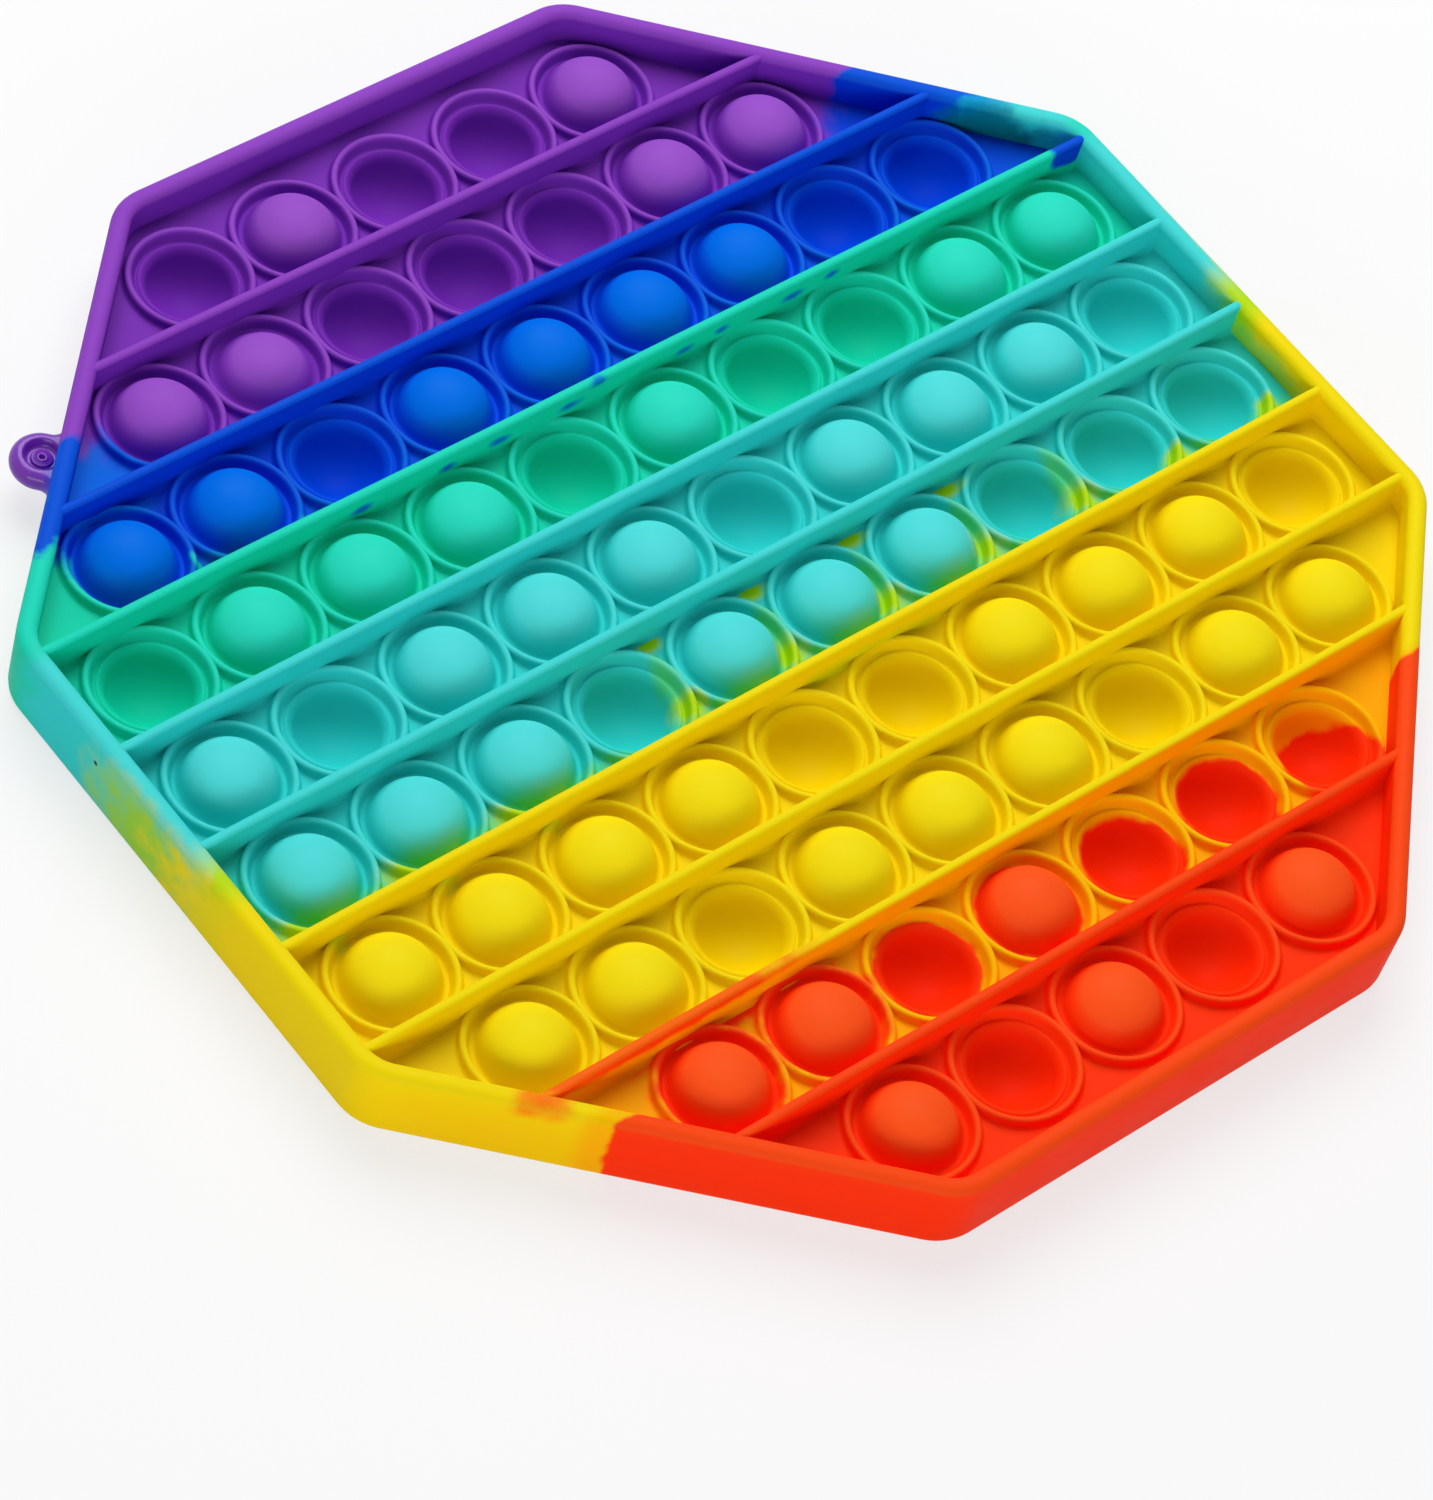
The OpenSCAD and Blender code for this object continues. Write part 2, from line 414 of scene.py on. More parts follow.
def sheet_tree():
    """The flat sheet with a round opening for each bubble."""
    tree = Tree("Sheet with openings", [
        ("Pitch", "Float"), ("Middle", "Float"), ("Across flats", "Float"), ("Rim inset", "Float"),
        ("Opening radius", "Float"), ("Thickness", "Float"), ("Material", "Material")])
    points = spread_points(tree)
    circle = tree.add("GeometryNodeCurvePrimitiveCircle", {
        "Resolution": TURN_STEPS, "Radius": tree.given["Opening radius"]})
    circles = tree.add("GeometryNodeInstanceOnPoints", {"Points": points, "Instance": circle})
    openings = tree.add("GeometryNodeRealizeInstances", {"Geometry": circles})
    outline = tree.joined(octagon_curve(tree), openings)
    face = tree.add("GeometryNodeFillCurve", {"Curve": outline})
    under = tree.maths("MULTIPLY_ADD", tree.given["Thickness"], -0.5, tree.given["Middle"])
    lifted = tree.add("GeometryNodeTransform", {"Geometry": face, "Translation": tree.place(z=under)})
    raised = tree.add("GeometryNodeExtrudeMesh", {
        "Mesh": lifted, "Offset": tree.place(z=tree.given["Thickness"]), "Individual": False})
    closed = tree.joined(raised, tree.add("GeometryNodeFlipFaces", {"Mesh": lifted}))
    return tree.end(tree.add("GeometryNodeMergeByDistance", {"Geometry": closed, "Distance": TINY}))


def dividers_tree():
    """Straight walls between the rows, swept from one section, that end inside the rim."""
    tree = Tree("Dividers between the rows", [
        ("Pitch", "Float"), ("Middle", "Float"), ("Across flats", "Float"), ("Rim inset", "Float"),
        ("Waver", "Float"), ("Section", "Object"), ("Material", "Material")])
    count = len(ROWS) - 1
    first = tree.maths("MULTIPLY", tree.given["Pitch"], (count - 1) / 2)
    step = tree.maths("MULTIPLY", tree.given["Pitch"], -1)
    start = tree.place(y=first, z=tree.given["Middle"])
    line = tree.add("GeometryNodeMeshLine", {
        "Count": count, "Start Location": start, "Offset": tree.place(y=step)})
    at = tree.add("ShaderNodeSeparateXYZ", {0: tree.add("GeometryNodeInputPosition")})
    flat = wall_distance(tree)
    corner = tree.maths("MULTIPLY", flat, math.sqrt(2))
    slope = tree.maths("SUBTRACT", corner, tree.maths("ABSOLUTE", at.outputs["Y"]))
    half = tree.maths("MINIMUM", flat, slope)
    stroke = tree.add("GeometryNodeCurvePrimitiveLine", {"Start": (-1, 0, 0), "End": (1, 0, 0)})
    strokes = tree.add("GeometryNodeInstanceOnPoints", {
        "Points": line, "Instance": stroke, "Scale": tree.place(x=half, y=1, z=1)})
    lines = tree.add("GeometryNodeRealizeInstances", {"Geometry": strokes})
    fine = tree.add("GeometryNodeResampleCurve", {"Curve": lines, "Count": DIVIDER_POINTS})
    noise = tree.add("ShaderNodeTexNoise", {"Scale": 14, "Detail": 1}, noise_dimensions="3D")
    # The noise seldom goes past a quarter on either side of a half.
    reach = tree.maths("MULTIPLY", tree.given["Waver"], 4)
    sway = tree.maths("MULTIPLY", tree.maths("SUBTRACT", noise, 0.5), reach)
    bent = tree.add("GeometryNodeSetPosition", {"Geometry": fine, "Offset": tree.place(y=sway)})
    return swept(tree, bent, True)


def rim_tree():
    """The rim: one section swept round the octagon with its rounded corners."""
    tree = Tree("Rim round the octagon", [
        ("Middle", "Float"), ("Across flats", "Float"), ("Rim inset", "Float"), ("Bend radius", "Float"),
        ("Section", "Object"), ("Material", "Material")])
    path = tree.add("GeometryNodeFilletCurve", {
        "Curve": octagon_curve(tree), "Count": CORNER_STEPS, "Radius": tree.given["Bend radius"]}, mode="POLY")
    lifted = tree.add("GeometryNodeTransform", {
        "Geometry": path, "Translation": tree.place(z=tree.given["Middle"])})
    return swept(tree, lifted, False)


# Materials

def empty_tree(owner):
    """The cleared node tree of a material or a world."""
    owner.use_nodes = True
    owner.node_tree.nodes.clear()
    return owner.node_tree


def shader_group(name, inputs, outputs):
    """A shader group under construction and its inputs, each with its kind and perhaps a default."""
    shader = Nodes(bpy.data.node_groups.new(name, "ShaderNodeTree"))
    sockets = shader.tree.interface
    for label, kind, *default in inputs:
        socket = sockets.new_socket(name=label, in_out="INPUT", socket_type="NodeSocket" + kind)
        if default:
            socket.default_value = default[0]
    for label, kind in outputs:
        sockets.new_socket(name=label, in_out="OUTPUT", socket_type="NodeSocket" + kind)
    return shader, shader.add("NodeGroupInput").outputs


def end_mixed(shader, share, colour, other):
    """Ends a group with a mix of two colours."""
    mixed = shader.add("ShaderNodeMix", {0: share, 6: colour, 7: other}, data_type="RGBA")
    shader.add("NodeGroupOutput", {0: mixed.outputs[2]})


def border_group():
    """The ragged border below which the next colour was poured."""
    shader, given = shader_group("Pour border", [
        ("Above", "Color"), ("Below", "Color"), ("Vector", "Vector"), ("Fray", "Float"), ("Border", "Float", 0),
        ("Slope", "Float", 0), ("Softness", "Float", 0.0005), ("Raggedness", "Float", 0.001)],
        [("Color", "Color")])
    at = shader.add("ShaderNodeSeparateXYZ", {0: given["Vector"]})
    line = shader.maths("MULTIPLY_ADD", at.outputs["X"], given["Slope"], given["Border"])
    frayed = shader.maths("MULTIPLY_ADD", given["Fray"], given["Raggedness"], line)
    above = shader.maths("SUBTRACT", at.outputs["Y"], frayed)
    mask = shader.add("ShaderNodeMapRange", {
        "Value": above, "From Min": given["Softness"],
        "From Max": shader.maths("MULTIPLY", given["Softness"], -1)}, interpolation_type="SMOOTHSTEP")
    end_mixed(shader, mask, given["Above"], given["Below"])


def bleed_group():
    """A patch where one colour has bled into another, with a soft or ragged edge."""
    shader, given = shader_group("Colour bleed", [
        ("Color", "Color"), ("Bled", "Color"), ("Vector", "Vector"), ("Fray", "Float"), ("Centre", "Vector"),
        ("Radii", "Vector"), ("Turn", "Float", 0), ("Softness", "Float", 0.2), ("Raggedness", "Float", 0.5),
        ("Strength", "Float", 1)], [("Color", "Color")])
    away = shader.add("ShaderNodeVectorMath", {0: given["Vector"], 1: given["Centre"]}, operation="SUBTRACT")
    turned = shader.add("ShaderNodeVectorRotate", {
        "Vector": away, "Angle": given["Turn"]}, rotation_type="Z_AXIS")
    share = shader.add("ShaderNodeVectorMath", {0: turned, 1: given["Radii"]}, operation="DIVIDE")
    far = shader.add("ShaderNodeVectorMath", {0: share}, operation="LENGTH").outputs["Value"]
    edge = shader.maths("MULTIPLY_ADD", given["Fray"], given["Raggedness"], far)
    mask = shader.add("ShaderNodeMapRange", {
        "Value": edge, "From Min": shader.maths("ADD", 1, given["Softness"]),
        "From Max": shader.maths("SUBTRACT", 1, given["Softness"])}, interpolation_type="SMOOTHSTEP")
    weight = shader.maths("MULTIPLY", mask, given["Strength"])
    end_mixed(shader, weight, given["Color"], given["Bled"])


def fray_group():
    """Uneven streaks, mostly from minus a half to a half, that fray the edges of the colours."""
    shader, given = shader_group(
        "Colour fray", [("Vector", "Vector"), ("Scale", "Float", 260)], [("Fray", "Float")])
    noise = shader.add("ShaderNodeTexNoise", {"Vector": given["Vector"], "Scale": given["Scale"], "Detail": 3})
    spread = shader.maths("MULTIPLY", shader.maths("SUBTRACT", noise, 0.5), 2)
    shader.add("NodeGroupOutput", {0: spread})


def painted_light_group():
    """Painted light and shade: places that stand out from the toy's middle and face outwards are painted paler, as
    if lit, and the hollows keep the deeper colour, as if in shade.
    """
    shader, given = shader_group("Raised bloom", [
        ("Color", "Color"), ("Vector", "Vector"), ("Normal", "Vector"), ("Middle", "Float", 0),
        ("Reach", "Float", 0.0025), ("Strength", "Float", 0.35)], [("Color", "Color")])
    at = shader.add("ShaderNodeSeparateXYZ", {0: given["Vector"]})
    height = shader.maths("SUBTRACT", at.outputs["Z"], given["Middle"])
    facing = shader.add("ShaderNodeSeparateXYZ", {0: given["Normal"]}).outputs["Z"]
    raised = shader.maths("DIVIDE", shader.maths("MULTIPLY", height, facing), given["Reach"])
    share = shader.maths("MINIMUM", shader.maths("MAXIMUM", raised, 0), 1)
    power = shader.maths("SUBTRACT", 1, shader.maths("MULTIPLY", share, given["Strength"]))
    paler = shader.add("ShaderNodeGamma", {"Color": given["Color"], "Gamma": power})
    shader.add("NodeGroupOutput", {0: paler})


def touch_group():
    """The fine skin of moulded silicone: faint unevenness, and a roughness that varies a little."""
    shader, given = shader_group("Silicone touch", [("Vector", "Vector"), ("Roughness", "Float", 0.5)],
                                 [("Roughness", "Float"), ("Height", "Float")])
    fine = shader.add("ShaderNodeTexNoise", {"Vector": given["Vector"], "Scale": 2600, "Detail": 3})
    broad = shader.add("ShaderNodeTexNoise", {"Vector": given["Vector"], "Scale": 120, "Detail": 2})
    uneven = shader.maths("SUBTRACT", broad, 0.5)
    varied = shader.maths("MULTIPLY_ADD", uneven, 0.18, given["Roughness"])
    height = shader.maths("MULTIPLY_ADD", broad, 0.6, fine)
    shader.add("NodeGroupOutput", {0: varied, 1: height})


class Silicone(Nodes):
    """Soft satin silicone, poured in bands from the first row down, with bleeds between its colours."""

    gloss = 0.05
    rough = 0.5

    def __init__(self, name, first):
        self.material = bpy.data.materials.new(name)
        super().__init__(empty_tree(self.material))
        self.where = self.add("ShaderNodeTexCoord").outputs["Object"]
        self.fray = self.group("Colour fray", {"Vector": self.where})
        self.colour = self.add("ShaderNodeRGB")
        self.colour.outputs[0].default_value = self.named(first)

    def group(self, name, values):
        return self.add("ShaderNodeGroup", values, node_tree=bpy.data.node_groups[name])

    def named(self, name):
        return (*getattr(bpy.context.scene.toy_colours, name), 1)

    def pour(self, below, border, slope=0.0, soft=0.4, ragged=0.8):
        """Everything below a border, in millimetres, takes the next colour."""
        self.colour = self.group("Pour border", {
            "Above": self.colour, "Below": self.named(below), "Vector": self.where, "Fray": self.fray,
            "Border": border * MM, "Slope": slope, "Softness": soft * MM, "Raggedness": ragged * MM})

    def bleed(self, bled, centre, radii, turn=0, soft=0.35, ragged=0.6, strength=1.0):
        """An ellipse, in millimetres, where another colour has come in."""
        centre = [v * MM for v in (*centre, MIDDLE_MM)[:3]]
        radii = [v * MM for v in (*radii, DEEP_MM)[:3]]
        self.colour = self.group("Colour bleed", {
            "Color": self.colour, "Bled": self.named(bled), "Vector": self.where, "Fray": self.fray,
            "Centre": centre, "Radii": radii, "Turn": math.radians(-turn), "Softness": soft,
            "Raggedness": ragged, "Strength": strength})

    def end(self, painted_light=0.33):
        """The finished material, whose raised places are painted paler, as painted light, by the given share."""
        facing = self.add("ShaderNodeTexCoord").outputs["Normal"]
        # Painted light: raised, outward-facing places are made paler, as if lit, and hollows stay deeper, as if
        # shaded.
        colour = self.group("Raised bloom", {
            "Color": self.colour, "Vector": self.where, "Normal": facing, "Middle": MIDDLE_MM * MM,
            "Strength": painted_light})
        touch = self.group("Silicone touch", {"Vector": self.where, "Roughness": self.rough}).outputs
        bump = self.add("ShaderNodeBump", {"Height": touch["Height"], "Strength": 0.25, "Distance": 0.03 * MM})
        skin = self.add("ShaderNodeBsdfPrincipled", {
            "Base Color": colour, "Roughness": touch["Roughness"], "Normal": bump,
            "IOR": 1.41, "Specular IOR Level": self.gloss})
        self.add("ShaderNodeOutputMaterial", {0: skin})
        return self.material


def bubble_x(row, number):
    """Where a bubble's middle is along X, in millimetres, with rows and bubbles counted from one."""
    return (number - (len(ROWS[row - 1]) + 1) / 2) * sizes().pitch / MM


def bubble_y(row):
    """Where a row's middle is along Y, in millimetres, with rows counted from one."""
    return ((len(ROWS) + 1) / 2 - row) * sizes().pitch / MM


def inside_silicone(name):
    """The sheet, the ridges and the domes, which carry the same bands."""
    domed = name.endswith("domes")
    skin = Silicone(name, "purple")
    skin.pour("azure" if domed else "blue", 57.8)
    skin.pour("azure", 45, soft=4, ragged=2)
    skin.pour("mint", 38.6)
    skin.pour("turquoise", 19.6)
    skin.pour("green", -15.2, soft=1.9, ragged=0.8)
    skin.pour("lime", -16.6, soft=0.9, ragged=0.8)
    skin.pour("yellow", -17.6, soft=0.5)
    skin.pour("orange", -57.4)
    skin.pour("red", -74.4)
    blue_and_mint(skin, domed)
    green_and_lime(skin, domed)
    red_and_orange(skin)
    # Painted light on the domes, ridges and sheet: their raised places are made paler, as if lit.
    return skin.end()


def blue_and_mint(skin, domed):
    """Both corners of the second row and the left corner of the third."""
    if not domed:
        skin.bleed("blue", (-62.5, 61), (8, 7), turn=-20, soft=0.3, ragged=0.4)
        skin.bleed("sky", (-73, 60), (7.5, 9), soft=0.3, ragged=0.4)
        skin.bleed("magenta", (-69.6, 67.2), (0.8, 1.5), turn=-45, soft=0.6, ragged=0.6, strength=0.5)
    skin.bleed("blue", (75, 60), (9, 7), soft=0.3, ragged=0.5)
    if not domed:
        skin.bleed("mint", (-92, 42), (9.5, 15), turn=-10, soft=0.2, ragged=0.4)
        skin.bleed("mint", (-80, 39.5), (8, 3), turn=-22, soft=0.4, ragged=0.4)
        skin.bleed("mint", (-67.2, 41.8), (0.6, 1.8), soft=0.5, ragged=0.5, strength=0.8)
    skin.bleed("teal", (-64, 40), (4, 2.5), soft=0.6, strength=0.6)
    skin.bleed("mint", (-48.5, 39.4), (2.2, 1.5), soft=0.5, strength=0.7)


def green_and_lime(skin, domed):
    """The sixth row, where yellow has come up round the bubbles."""
    row = 6
    y = bubble_y(row)
    for number in (4, 5, 6, 7, 8):
        x = bubble_x(row, number)
        skin.bleed("green", (x + 7.6, y - 1), (1.5, 6.5), turn=-6, soft=0.6, strength=0.75)
        skin.bleed("lime", (x + 7.6, y - 4.6), (2.4, 2.6), turn=-35, soft=0.6)
    for between in (4.5, 5.5, 6.5, 7.5):
        skin.bleed("lime", (bubble_x(row, between), y + 7.6), (2.3, 1.5), soft=0.5, ragged=0.7)
    for number in (1, 2, 3):
        x = bubble_x(row, number)
        skin.bleed("green" if domed else "lime", (x - 6, y - 7.4), (4.5, 2.4), turn=-38, soft=0.6, ragged=0.5)
    for number in (9, 10):
        skin.bleed("lime", (bubble_x(row, number) + 6.8, y - 6.2), (2.8, 1.9), turn=45, soft=0.5)


def red_and_orange(skin):
    """The ninth row, whose domes are red on an orange sheet."""
    row = 9
    y = bubble_y(row)
    for number in (1, 2):
        skin.bleed("red", (bubble_x(row, number), y + 0.8), (9.6, 9.4), soft=0.14, ragged=0.2)
    for number, up in ((3, 0.0), (4, 0.0), (5, -1.3), (6, -1.0), (7, -3.6)):
        skin.bleed("red", (bubble_x(row, number), y + up), (7.9, 7.9), soft=0.06, ragged=0.1)
    skin.bleed("red", (-49, -57.9), (16, 1.4), soft=0.5, ragged=0.5)


def divider_silicone(name):
    """The dividers, each of one colour but for a few bleeds."""
    skin = Silicone(name, "purple")
    skin.pour("blue", 66)
    skin.pour("mint", 47)
    skin.pour("turquoise", 28)
    skin.pour("yellow", -9.45)
    skin.pour("orange", -57.2, soft=0.3, ragged=0.2)
    skin.pour("red", -66)
    skin.bleed("blue", (95, 37.8, 12.4), (4.2, 4, 3.4), soft=0.2, ragged=0.4)
    for x, z, wide in ((-42, 10.2, 1.6), (-26.5, 10.1, 1.3), (-17, 10.5, 1.5), (-4, 10.6, 1.8), (1, 13, 1.2),
                       (18, 10.1, 1.6), (25, 10.6, 1.4), (39, 10.3, 2), (46.5, 10.9, 1.3)):
        skin.bleed("blue", (x, 37.1, z), (wide, 0.9, 0.8), soft=0.7, ragged=0.7, strength=0.8)
    skin.bleed("lime", (8, -19.7, 8), (13, 0.9, 2.6), soft=0.6, ragged=0.9, strength=0.4)
    skin.bleed("red", (-62, -56.7, 13.4), (24, 3, 2.6), soft=0.35, ragged=0.4, strength=0.92)
    # Painted light: the dividers' crests are made paler, as if lit.
    return skin.end(painted_light=0.22)


def rim_silicone(name):
    """The rim, down whose two sides the colours have run differently."""
    skin = Silicone(name, "purple")
    skin.pour("blue", 66.5, soft=0.6, ragged=1.6)
    skin.pour("mint", 52.5, soft=0.8, ragged=3)
    skin.pour("turquoise", 37, soft=4, ragged=4)
    skin.pour("lime", 2, slope=0.04, soft=4, ragged=3)
    skin.pour("yellow", -6.5, slope=0.03, soft=3.5, ragged=3)
    skin.bleed("orange", (-86, -56, 4), (17, 3, 9), turn=-45, soft=0.8, ragged=0.3, strength=0.4)
    skin.pour("orange", -62.6, soft=1.4, ragged=0.8)
    skin.pour("red", -64.2, slope=0.015, soft=0.4, ragged=1)
    skin.bleed("blue", (-71.4, 70, 3.5), (7, 2, 6), turn=45, soft=0.4, ragged=0.4)
    skin.bleed("mint", (-84.8, 56.6, 3), (9, 2.5, 7), turn=45, soft=0.4, ragged=0.4)
    skin.bleed("turquoise", (95, 46.5, 7), (8, 8, 12), soft=0.25, ragged=0.5)
    skin.bleed("azure", (87, 52.5, 12), (5, 3.5, 6), turn=-45, soft=0.7, ragged=0.5, strength=0.7)
    skin.bleed("teal", (87, 48, 7.5), (9, 4.2, 6.4), turn=-45, soft=0.4, ragged=0.6, strength=0.9)
    skin.bleed("moss", (-100.6, 7, 5), (1.9, 14, 9), soft=0.5, ragged=0.6)
    skin.bleed("yellow", (-100.6, -8, 5), (1.6, 13, 9), soft=0.5, ragged=0.9, strength=0.8)
    skin.bleed("lime", (100.4, 10, 12), (1.3, 14, 3.2), soft=0.5, ragged=0.5, strength=0.8)
    skin.bleed("turquoise", (97, 6.5, 6), (1.2, 7, 6), soft=0.4, ragged=0.4, strength=0.8)
    skin.bleed("green", (97, -8, 8.5), (1.3, 8, 2.5), soft=0.7, ragged=0.6, strength=0.6)
    skin.bleed("red", (-81.8, -57.4, 12.8), (3.6, 2, 2.4), turn=-45, soft=0.6, ragged=0.6, strength=0.85)
    skin.bleed("speck", (-100, 20.7, 9), (0.4, 0.4, 0.4), soft=0.3, ragged=0.5)
    # Painted light: the rim's raised places are made paler, as if lit.
    return skin.end(painted_light=0.24)


def ear_silicone(name):
    """The ear, purple down to its root, where blue comes in."""
    skin = Silicone(name, "purple")
    skin.gloss, skin.rough = 0.5, 0.22
    skin.bleed("blue", (-74.5, 62.5), (5.5, 3.6), turn=45, soft=0.5, ragged=0.4)
    return skin.end(painted_light=0)


SKINS = {
    "sheet": inside_silicone, "ridges": inside_silicone, "domes": inside_silicone,
    "dividers": divider_silicone, "rim": rim_silicone, "ear": ear_silicone}


def material_for(kind):
    """The silicone of one kind of piece, made once."""
    name = "silicone_" + kind
    return bpy.data.materials.get(name) or SKINS[kind](name)


# Sections of the moulding

def ridge_section():
    """Half of a ridge's section, from its foot on the sheet over its crest to the web."""
    s = sizes()
    top, crest_z, web_z = s.sheet_t / 2, s.sheet_t / 2 + s.ridge_h, s.web_t / 2
    outside = points_from(s.ridge_r, top, ((1.2, -0.02), (0.9, 0.1), (0.68, 0.42)))
    crest = points_from(s.ridge_r, crest_z, ((0.56, -0.36), (0.3, -0.05), (-0.1, -0.01), (-0.46, -0.26)))
    inside = points_from(s.ridge_r, web_z, ((-0.78, 0.62), (-1, 0.18)))
    web = points_from(s.web_r, web_z, ((0, 0), (-0.25, -0.01)))
    return smooth_line(outside + crest + inside + web, 2)


def lip_section():
    """The web's inner edge with the bead along a dish's lip."""
    s = sizes()
    web_z = s.web_t / 2
    bead = points_from(s.dome_r, web_z, ((0.42, 0), (0.22, 0.14), (0, 0.22), (-0.24, 0.12)))
    return points_from(s.web_r, web_z, ((0.1, 0),)) + bead


def cap_arc(foot_r, height, start_z, steps=11):
    """A spherical cap's section, from a height near its foot to its crown."""
    ball = (foot_r ** 2 + height ** 2) / (2 * height)
    start = math.asin((start_z - (height - ball)) / ball)
    stops = [start + (math.pi / 2 - start) * k / steps for k in range(steps + 1)]
    line = [(ball * math.cos(a), height - ball + ball * math.sin(a)) for a in stops]
    return line[:-1] + [(0, height)]


def standing_section(height):
    """The upper side of a dome that stands up: the web, a tight corner and the cap."""
    s = sizes()
    web_z = s.web_t / 2
    web = points_from(s.web_r, web_z, ((0.1, 0),))
    corner = points_from(s.dome_r, web_z, ((0.3, -0.02), (0.1, 0.04)))
    return web + corner + cap_arc(s.dome_r, height, web_z + 0.3 * MM)


def dish_section(depth):
    """The inner side of a dome that is pushed away: the lip's bead and the bowl under it."""
    s = sizes()
    cap = cap_arc(s.dome_r - s.dome_t, depth - s.dome_t, 0.1 * MM)
    return smooth_line(lip_section(), 2) + [(r, -z) for r, z in cap]


def two_sided(name, upper, lower):
    """A turned shape from an upper section and a lower one, given as if it too faced up."""
    shape = bmesh.new()
    shape.from_mesh(lathe(name, upper))
    shape.from_mesh(turned_over(lathe(name, lower)))
    return finished_mesh(shape, name)


def wall_section(width, height, rounding, foot=0):
    """An upright wall's section with round edges, and perhaps fillets where the sheet meets it."""
    half_w, half_h, top = width / 2, height / 2, sizes().sheet_t / 2
    crest = arc((half_w - rounding, half_h - rounding), rounding, 0, 90, ROUNDING_STEPS)
    crest += arc((rounding - half_w, half_h - rounding), rounding, 90, 180, ROUNDING_STEPS)
    right = []
    if foot:
        right = [(half_w + foot, 0), *arc((half_w + foot, top + foot), foot, 270, 180, ROUNDING_STEPS)]
    above = right + crest + [(-x, y) for x, y in reversed(right[1:])]
    return above + [(-x, -y) for x, y in above]


def at_bubbles(name, kind, shapes):
    """A plain mesh object of what stands at the bubbles, with one shape for each state."""
    return made_by(bubbles_tree(), name, lattice_points(), kind, dict(zip(STATE_INPUTS, shapes)))


# Operators, one for each piece or group of like pieces

class Piece(bpy.types.Operator):
    """What the operators for the pieces share."""
    bl_options = {"REGISTER", "UNDO"}

    def keep(self, obj):
        """Ties a finished piece to the toy's one body."""
        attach(obj, BODY)
        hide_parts(NODE)
        return {"FINISHED"}


class TOY_OT_sheet(Piece):
    """Make the flat sheet between the bubbles"""
    bl_idname = "toy.sheet"
    bl_label = "Sheet"

    def execute(self, context):
        s = sizes()
        under_ridge = 0.35 * MM
        return self.keep(made_by(sheet_tree(), "sheet", lattice_points(), "sheet", {
            "Opening radius": s.ridge_r - under_ridge, "Thickness": s.sheet_t}))


class TOY_OT_ring_ridges(Piece):
    """Make the ring ridge round each bubble, on both faces"""
    bl_idname = "toy.ring_ridges"
    bl_label = "Ring ridges"

    def execute(self, context):
        front = template(lathe("front_ring", ridge_section()))
        back = template(turned_over(lathe("back_ring", ridge_section())))
        self.keep(at_bubbles("ring_ridges_front", "ridges", [front] * len(STATES)))
        return self.keep(at_bubbles("ring_ridges_back", "ridges", [back] * len(STATES)))


class TOY_OT_domes(Piece):
    """Make the domes, those that stand up and those that are pushed through"""
    bl_idname = "toy.domes"
    bl_label = "Domes"

    def execute(self, context):
        s = sizes()
        up = template(two_sided("dome_up", standing_section(s.dome_h), dish_section(s.dome_h)))
        down = template(two_sided("dome_down", dish_section(s.dome_h), standing_section(s.dome_h)))
        sagged = template(two_sided("dome_sagged", standing_section(s.sag_h), dish_section(s.sag_h)))
        nothing = template(bpy.data.meshes.new("no_dome"))
        self.keep(at_bubbles("domes_standing", "domes", (up, nothing, sagged)))
        return self.keep(at_bubbles("domes_pushed", "domes", (nothing, down, nothing)))


class TOY_OT_dividers(Piece):
    """Make the walls between the rows"""
    bl_idname = "toy.dividers"
    bl_label = "Dividers"

    def execute(self, context):
        s = sizes()
        section = wall_section(s.divider_t, s.rim_h - 2 * s.divider_drop, s.divider_round, s.foot_fillet)
        return self.keep(made_by(dividers_tree(), "dividers", bpy.data.meshes.new("dividers_start"), "dividers", {
            "Waver": s.divider_waver, "Section": section_curve("divider_section", section)}))


class TOY_OT_rim(Piece):
    """Make the rim round the toy"""
    bl_idname = "toy.rim"
    bl_label = "Rim"

    def execute(self, context):
        s = sizes()
        section = wall_section(s.rim_t, s.rim_h, s.rim_round)
        return self.keep(made_by(rim_tree(), "rim", bpy.data.meshes.new("rim_start"), "rim", {
            "Bend radius": s.corner_r - s.rim_t / 2, "Section": section_curve("rim_section", section)}))


